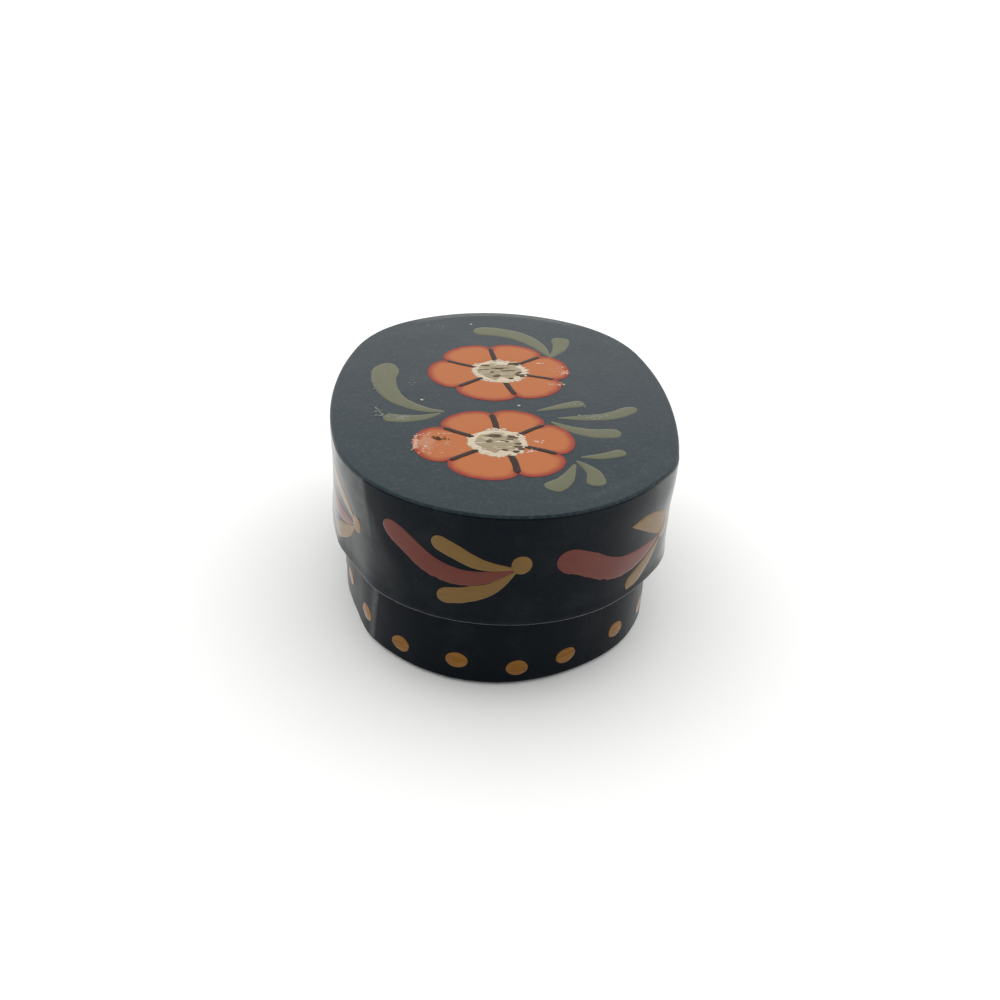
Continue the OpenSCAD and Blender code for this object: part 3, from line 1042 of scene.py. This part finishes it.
class TRINKET_OT_card(bpy.types.Operator):
    """Bends the two card walls and gives the boards and linings their finish"""

    bl_idname = "trinket.card"
    bl_label = "Card and linings"

    def execute(self, context):
        shape = context.scene.trinket_shape
        card_wall("base_card_wall", base_wall(shape), BASE_CARD, "base_wall_band", "base")
        card_wall("lid_card_wall", lid_wall(shape), LID_CARD, "lid_rim_band", "lid")
        kraft = paint_once("Brown kraft paper, pasted down", fibre_board, box_colours().kraft, "#8a6a42")
        boards, linings = ("base_floor_board", "lid_top_board"), ("base_lining_sheet", "lid_lining_sheet")
        for nodes, material in ((boards, greyboard()), (linings, kraft)):
            for node in nodes:
                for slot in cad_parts[node].material_slots:
                    slot.material = material
        return {"FINISHED"}


class TRINKET_OT_flowers(bpy.types.Operator):
    """Paints the two flowers on the lid"""

    bl_idname = "trinket.flowers"
    bl_label = "Flowers"

    def execute(self, context):
        scene = context.scene
        colours = scene.trinket_colours
        chance = random.Random(scene.trinket_view.seed)
        top = LidTop(scene.trinket_shape)
        petals, hearts, washes, marks, lines = (PaintLayer(top) for _ in range(5))
        for number, (x, y, radius, wiped, dabs, turns, reaches) in enumerate(FLOWERS):
            centre = Vector((x, y)) * MM
            radius *= MM
            for i, (turn, reach) in enumerate(zip(turns, reaches)):
                before = turns[i - 1] - (0 if i else 360)
                middle, half = math.radians(turn + before) / 2, math.radians(turn - before) / 2
                self.petal(petals, centre, middle, reach * radius, radius, half)
                ends = []
                for share in (*LINE_HOLDS, chance.uniform(*LINE_ENDS)):
                    slanted = math.radians(turn + LINE_SLANTS[number][i] * (LINE_TRUE - share))
                    ends.append(centre + Matrix.Rotation(slanted, 2) @ Vector((radius * share, 0)))
                breadth = chance.uniform(1.0, 1.2) * MM
                lines.stroke(breadth, ends, line, 0.12, 14, 2.2 * PAINT_T, 5 * number + i)
            worn = (wiped, dabs, SMUDGES[number])
            self.heart((hearts, washes, marks), centre, radius * HEART, worn, chance)
        petals.piece("lid_flower_petals", petal_paint(), "lid")
        for layer, name, label, colour, deep, rough in (
            (hearts, "lid_flower_hearts", "Cream paint, dabbed and rubbed", colours.cream, "#b6a892", 0.6),
            (washes, "lid_flower_washes", "Thin olive wash, wiped", colours.wash, "#8b7f66", 0.6),
            (lines, "lid_flower_lines", "Dark brown paint, liner brush", colours.brown, "#2c1c16", 0.55),
            (marks, "lid_flower_smudges", "Brown paint, smudged thin", colours.smudge, "#685a45", 0.6),
        ):
            layer.piece(name, brushed_paint(label, colour, deep, rough), "lid")
        return {"FINISHED"}

    def heart(self, layers, centre, radius, worn, chance):
        """Paints one heart: a ragged cream disc, wiped inside and smudged with dark marks."""
        hearts, washes, marks = layers
        wiped, dabs, smudges = worn

        def dab(layer, away, long, breadth, slope, thick, seed):
            along = Vector((long / 2, long / 2 * slope)) * MM
            layer.dab(centre + away, along, breadth * MM, 0.5, 14, thick * PAINT_T, seed)

        reach = Vector((radius * 0.96, 0))
        hearts.dab(centre, reach, 1.9 * radius, 0.12, 40, 2.4 * PAINT_T, radius)
        for i in range(HEART_DABS):
            turn = Matrix.Rotation(chance.uniform(0, FULL_TURN), 2)
            away = turn @ Vector((radius * chance.uniform(0.88, 0.98), 0))
            sizes = [chance.uniform(*ends) for ends in ((0.5, 0.9), (0.3, 0.6), (-0.6, 0.6))]
            dab(hearts, away, *sizes, 2.6, 40 + i)
        washes.dab(centre, wiped * reach, 2 * wiped * radius, 0.4, 40, 3.4 * PAINT_T, 1)
        for i in range(dabs):
            turn = Matrix.Rotation(chance.uniform(0, FULL_TURN), 2)
            away = turn @ Vector((radius * 0.7 * math.sqrt(chance.random()), 0))
            sizes = [chance.uniform(*ends) for ends in ((0.6, 1.8), (0.25, 0.5), (-0.1, 0.1))]
            dab(hearts, away, *sizes, 4.6, i)
        for i, (long, breadth, x, y, slope) in enumerate(smudges):
            for j in range(5):
                away = Vector((x + chance.gauss(0, long / 5), y + chance.gauss(0, breadth / 4))) * MM
                dab(marks, away, 0.55 * long, 0.5 * breadth, slope, 5, 60 + 5 * i + j)

    def petal(self, layer, centre, middle, reach, radius, half):
        """Paints one petal, with its distance from the rim for the red shading."""
        half *= PETAL_LAP
        columns, rows = 19, 14

        def spot(share, c):
            lobe = math.sqrt(1 - abs(c) ** PETAL_FULL)
            outer = radius * NOTCH + (reach - radius * NOTCH) * lobe
            inner = radius * HEART * 0.8
            angle = middle + c * half
            far = inner + (outer - inner) * share
            return centre + Vector((math.cos(angle), math.sin(angle))) * far

        sides = [math.sin(math.pi / 2 * (2 * j / (columns - 1) - 1)) for j in range(columns)]
        rim = [spot(1, c) for c in sides]
        patch = []
        for i in range(rows):
            share = math.sin(math.pi / 2 * i / (rows - 1))
            row = []
            for c in sides:
                place = spot(share, c)
                gap = min((place - p).length for p in rim) / MM
                edge = abs(c) == 1 or i in (0, rows - 1)
                row.append((place.x, place.y, -SINK if edge else PAINT_T, gap, c * share * 5))
            patch.append(row)
        layer.patch(patch)


class TRINKET_OT_leaves(bpy.types.Operator):
    """Paints the leaves on the lid"""

    bl_idname = "trinket.leaves"
    bl_label = "Leaves"

    def execute(self, context):
        colours = context.scene.trinket_colours
        layer = PaintLayer(LidTop(context.scene.trinket_shape))
        for i, (breadth, taper, *points) in enumerate(LEAVES):
            path = [Vector(p) * MM for p in points]
            layer.stroke(breadth * MM, path, leaf(taper), 0.08, STROKE_ROWS, PAINT_T, i)
        olive = brushed_paint("Olive paint, one pull of a round brush", colours.olive, "#5d5f4b")
        layer.piece("lid_leaves", olive, "lid")
        return {"FINISHED"}


class TRINKET_OT_lid_strokes(bpy.types.Operator):
    """Paints the red and ochre strokes round the lid's wall"""

    bl_idname = "trinket.lid_strokes"
    bl_label = "Lid strokes"

    def execute(self, context):
        scene = context.scene
        colours = scene.trinket_colours
        wall = lid_wall(scene.trinket_shape)
        reds, ochres = PaintLayer(wall), PaintLayer(wall)

        def pull(layer, bud, stroke, swell, thick, seed):
            breadth, *points = stroke
            path = [bud + Vector(p) * MM for p in points]
            layer.stroke(breadth * MM, path, swell, 0.06, STROKE_ROWS, thick, seed)

        for i, (share, height, hand) in enumerate(BUDS):
            bud = Vector((share * wall.length, height * MM))
            red_pull, *ochre_pulls = MOTIFS[hand]
            pull(reds, bud, red_pull, full, PAINT_T, i)
            for j, stroke in enumerate(ochre_pulls):
                pull(ochres, bud, stroke, full, 1.4 * PAINT_T, 10 + 2 * i + j)
            pull(ochres, bud, BUD, blob, 1.8 * PAINT_T, 40 + i)
        for layer, name, label, colour, deep in (
            (reds, "lid_wall_red_strokes", "Brick red paint", colours.red, "#5e322c"),
            (ochres, "lid_wall_ochre_strokes", "Ochre paint", colours.ochre, "#6a522d"),
        ):
            paint = brushed_paint(f"{label}, one pull of a round brush", colour, deep, 0.5, STROKE_DUST)
            layer.piece(name, paint, "lid")
        return {"FINISHED"}


class TRINKET_OT_base_dots(bpy.types.Operator):
    """Dabs the row of dots round the base"""

    bl_idname = "trinket.base_dots"
    bl_label = "Base dots"

    def execute(self, context):
        scene = context.scene
        colours = scene.trinket_colours
        chance = random.Random(scene.trinket_view.seed)
        wall = base_wall(scene.trinket_shape)
        layer, middles = PaintLayer(wall), PaintLayer(wall)
        long, breadth = DOT_SIZE
        (first, _), (last, _) = FRONT_DOTS[0], FRONT_DOTS[-1]
        gap = (wall.length / MM + first - last) / (MORE_DOTS + 1)
        more = [(last + gap * (i + 1), DOT_Z + chance.uniform(-0.6, 0.6)) for i in range(MORE_DOTS)]
        for i, place in enumerate((*FRONT_DOTS, *more)):
            reach = Vector((long / 2, chance.uniform(-0.3, 0.3))) * MM
            spot = Vector(place) * MM
            layer.dab(spot, reach, breadth * MM, 0.1, 18, 2 * PAINT_T, i)
            ends = (spot - 0.4 * reach, spot, spot + 0.5 * reach)
            middles.stroke(0.45 * breadth * MM, ends, blob, 0.3, 12, 2.4 * PAINT_T, 30 + i)
        dabbed = "Golden ochre paint, dabbed with a handle end"
        layer.piece("base_dots", brushed_paint(dabbed, colours.dot, "#704a1e", 0.5, DOT_DUST), "base")
        gathered = "Golden ochre paint, gathered thick"
        orange = brushed_paint(gathered, colours.dot_middle, "#7a4c0c", 0.5, DOT_DUST)
        middles.piece("base_dot_middles", orange, "base")
        return {"FINISHED"}


class TRINKET_OT_wear(bpy.types.Operator):
    """Chips the paint on the lid and leaves a few pale specks"""

    bl_idname = "trinket.wear"
    bl_label = "Chips and specks"

    def execute(self, context):
        scene = context.scene
        colours = scene.trinket_colours
        chance = random.Random(scene.trinket_view.seed)
        top = LidTop(scene.trinket_shape)
        chips, rubbed, dust, dark, specks = (PaintLayer(top) for _ in range(5))

        def scatter(layer, places, lift):
            for i, (x, y, along, across, count, longest) in enumerate(places):
                for j in range(count):
                    spot = Vector((x + chance.gauss(0, along / 1.6), y + chance.gauss(0, across / 1.6))) * MM
                    long = longest * chance.uniform(0.35, 1)
                    reach = Matrix.Rotation(chance.uniform(-0.4, 0.4), 2) @ Vector((long / 2 * MM, 0))
                    breadth = chance.uniform(0.6, 1) * long * MM
                    layer.dab(spot, reach, breadth, 0.3, 8, 0.4 * PAINT_T, 20 * i + j, lift * PAINT_T)

        scatter(rubbed, RUBBED, 1.0)
        scatter(chips, CHIPS, 1.3)
        scatter(dark, [DARK_SPOT], 1.6)
        scatter(dust, LEAF_DUST, 1.0)
        scatter(dust, GROUND_DUST, 0.1)
        reach = Vector((SPECK_SIZE / 2 * MM, 0))
        for i, place in enumerate(SPECKS):
            specks.dab(Vector(place) * MM, reach, SPECK_SIZE * MM, 0.3, 8, 2 * PAINT_T, 30 + i)
        for layer, name, label, colour, deep, rough in (
            (rubbed, "lid_rubbed_petals", "Petal paint rubbed pale", colours.rubbed, "#ab6c4c", 0.7),
            (dust, "lid_scuffs", "Paint scuffed grey", colours.scuff, "#666b62", 0.8),
            (chips, "lid_chips", "Chalky primer, chipped bare", colours.chip, "#b98a76", 0.8),
            (specks, "lid_specks", "Cream paint, spattered", colours.cream, "#b6a892", 0.6),
            (dark, "lid_stain", "Brown stain in a chip", colours.stain, "#3a2417", 0.8),
        ):
            layer.piece(name, brushed_paint(label, colour, deep, rough), "lid")
        return {"FINISHED"}


class TRINKET_OT_stage(bpy.types.Operator):
    """Sets the pale floor, the soft light and the camera"""

    bl_idname = "trinket.stage"
    bl_label = "Stage"

    def execute(self, context):
        scene = context.scene
        self.floor(scene)
        self.light(scene)
        self.camera(scene)
        scene.view_settings.view_transform = "Standard"
        return {"FINISHED"}

    def floor(self, scene):
        """A plain pale floor."""
        reach = 3.0
        mesh = bpy.data.meshes.new("floor")
        corners = [(-reach, -reach, 0), (reach, -reach, 0), (reach, reach, 0), (-reach, reach, 0)]
        mesh.from_pydata(corners, [], [(0, 1, 2, 3)])
        material, tree, shader = new_material("Matte white sweep")
        feed(tree, shader, {"Base Color": solid(scene.trinket_colours.floor), "Roughness": 0.9})
        mesh.materials.append(material)
        floor = bpy.data.objects.new("floor", mesh)
        scene.collection.objects.link(floor)

    def light(self, scene):
        """A pale room, brightest behind and at both sides, and dimmer in front."""
        world = bpy.data.worlds.new("Pale room")
        world.use_nodes = True
        scene.world = world
        tree = world.node_tree
        tree.nodes.clear()
        way = add(tree, "SeparateXYZ", {"Vector": add(tree, "TexCoord").outputs["Generated"]})
        depth = {"Value": way.outputs["Y"], "From Min": -0.8, "From Max": 0.8}
        ahead = add(tree, "MapRange", {**depth, "To Min": FRONT_GLOW, "To Max": BACK_GLOW})
        wide = add(tree, "Math", {0: way.outputs["X"], 1: way.outputs["X"]}, operation="MULTIPLY")
        room = add(tree, "Math", {0: wide, 1: SIDE_GLOW, 2: ahead}, operation="MULTIPLY_ADD")
        seen = add(tree, "LightPath").outputs["Is Camera Ray"]
        glow = add(tree, "Mix", {"Factor": seen, "A": room, "B": 1.0}, data_type="FLOAT")
        lit = add(tree, "Background", {"Color": (1, 1, 1, 1), "Strength": glow})
        add(tree, "OutputWorld", {"Surface": lit})

    def camera(self, scene):
        """The camera at the photograph's angle."""
        view = scene.trinket_view
        data = bpy.data.cameras.new("camera")
        data.lens = view.lens
        data.shift_x, data.shift_y = view.shift_x, view.shift_y
        data.clip_start = 0.01
        camera = bpy.data.objects.new("camera", data)
        level = math.cos(view.elevation)
        across, ahead = math.sin(view.azimuth) * level, math.cos(view.azimuth) * level
        back = Vector((across, -ahead, math.sin(view.elevation)))
        turn = (-back).to_track_quat("-Z", "Y").to_matrix().to_4x4() @ Matrix.Rotation(view.roll, 4, "Z")
        camera.matrix_world = Matrix.Translation(Vector((0, 0, LID_TOP / 2)) + back * view.distance) @ turn
        scene.collection.objects.link(camera)
        scene.camera = camera


class TRINKET_PT_panel(bpy.types.Panel):
    """Lists the steps that dress the box"""

    bl_idname = "TRINKET_PT_panel"
    bl_label = "Trinket Box"
    bl_space_type = "VIEW_3D"
    bl_region_type = "UI"
    bl_category = "Trinket Box"

    def draw(self, context):
        for step in STEPS:
            self.layout.operator(step.bl_idname)
        for group in (context.scene.trinket_shape, context.scene.trinket_colours, context.scene.trinket_view):
            for name in group.__annotations__:
                self.layout.prop(group, name)


STEPS = (
    TRINKET_OT_stage,
    TRINKET_OT_lid_wall,
    TRINKET_OT_base_wall,
    TRINKET_OT_sheets,
    TRINKET_OT_card,
    TRINKET_OT_flowers,
    TRINKET_OT_leaves,
    TRINKET_OT_lid_strokes,
    TRINKET_OT_base_dots,
    TRINKET_OT_wear,
)
CLASSES = (BoxShape, BoxColours, BoxView, *STEPS, TRINKET_PT_panel)


def register():
    """Registers the classes and the values on the scene."""
    for cls in CLASSES:
        bpy.utils.register_class(cls)
    bpy.types.Scene.trinket_shape = PointerProperty(type=BoxShape)
    bpy.types.Scene.trinket_colours = PointerProperty(type=BoxColours)
    bpy.types.Scene.trinket_view = PointerProperty(type=BoxView)


def unregister():
    """Takes the values and the classes away again."""
    del bpy.types.Scene.trinket_shape
    del bpy.types.Scene.trinket_colours
    del bpy.types.Scene.trinket_view
    for cls in reversed(CLASSES):
        bpy.utils.unregister_class(cls)


def main():
    """Dresses the box step by step."""
    register()
    for step in STEPS:
        group, name = step.bl_idname.split(".")
        getattr(getattr(bpy.ops, group), name)()


if __name__ == "__main__":
    main()
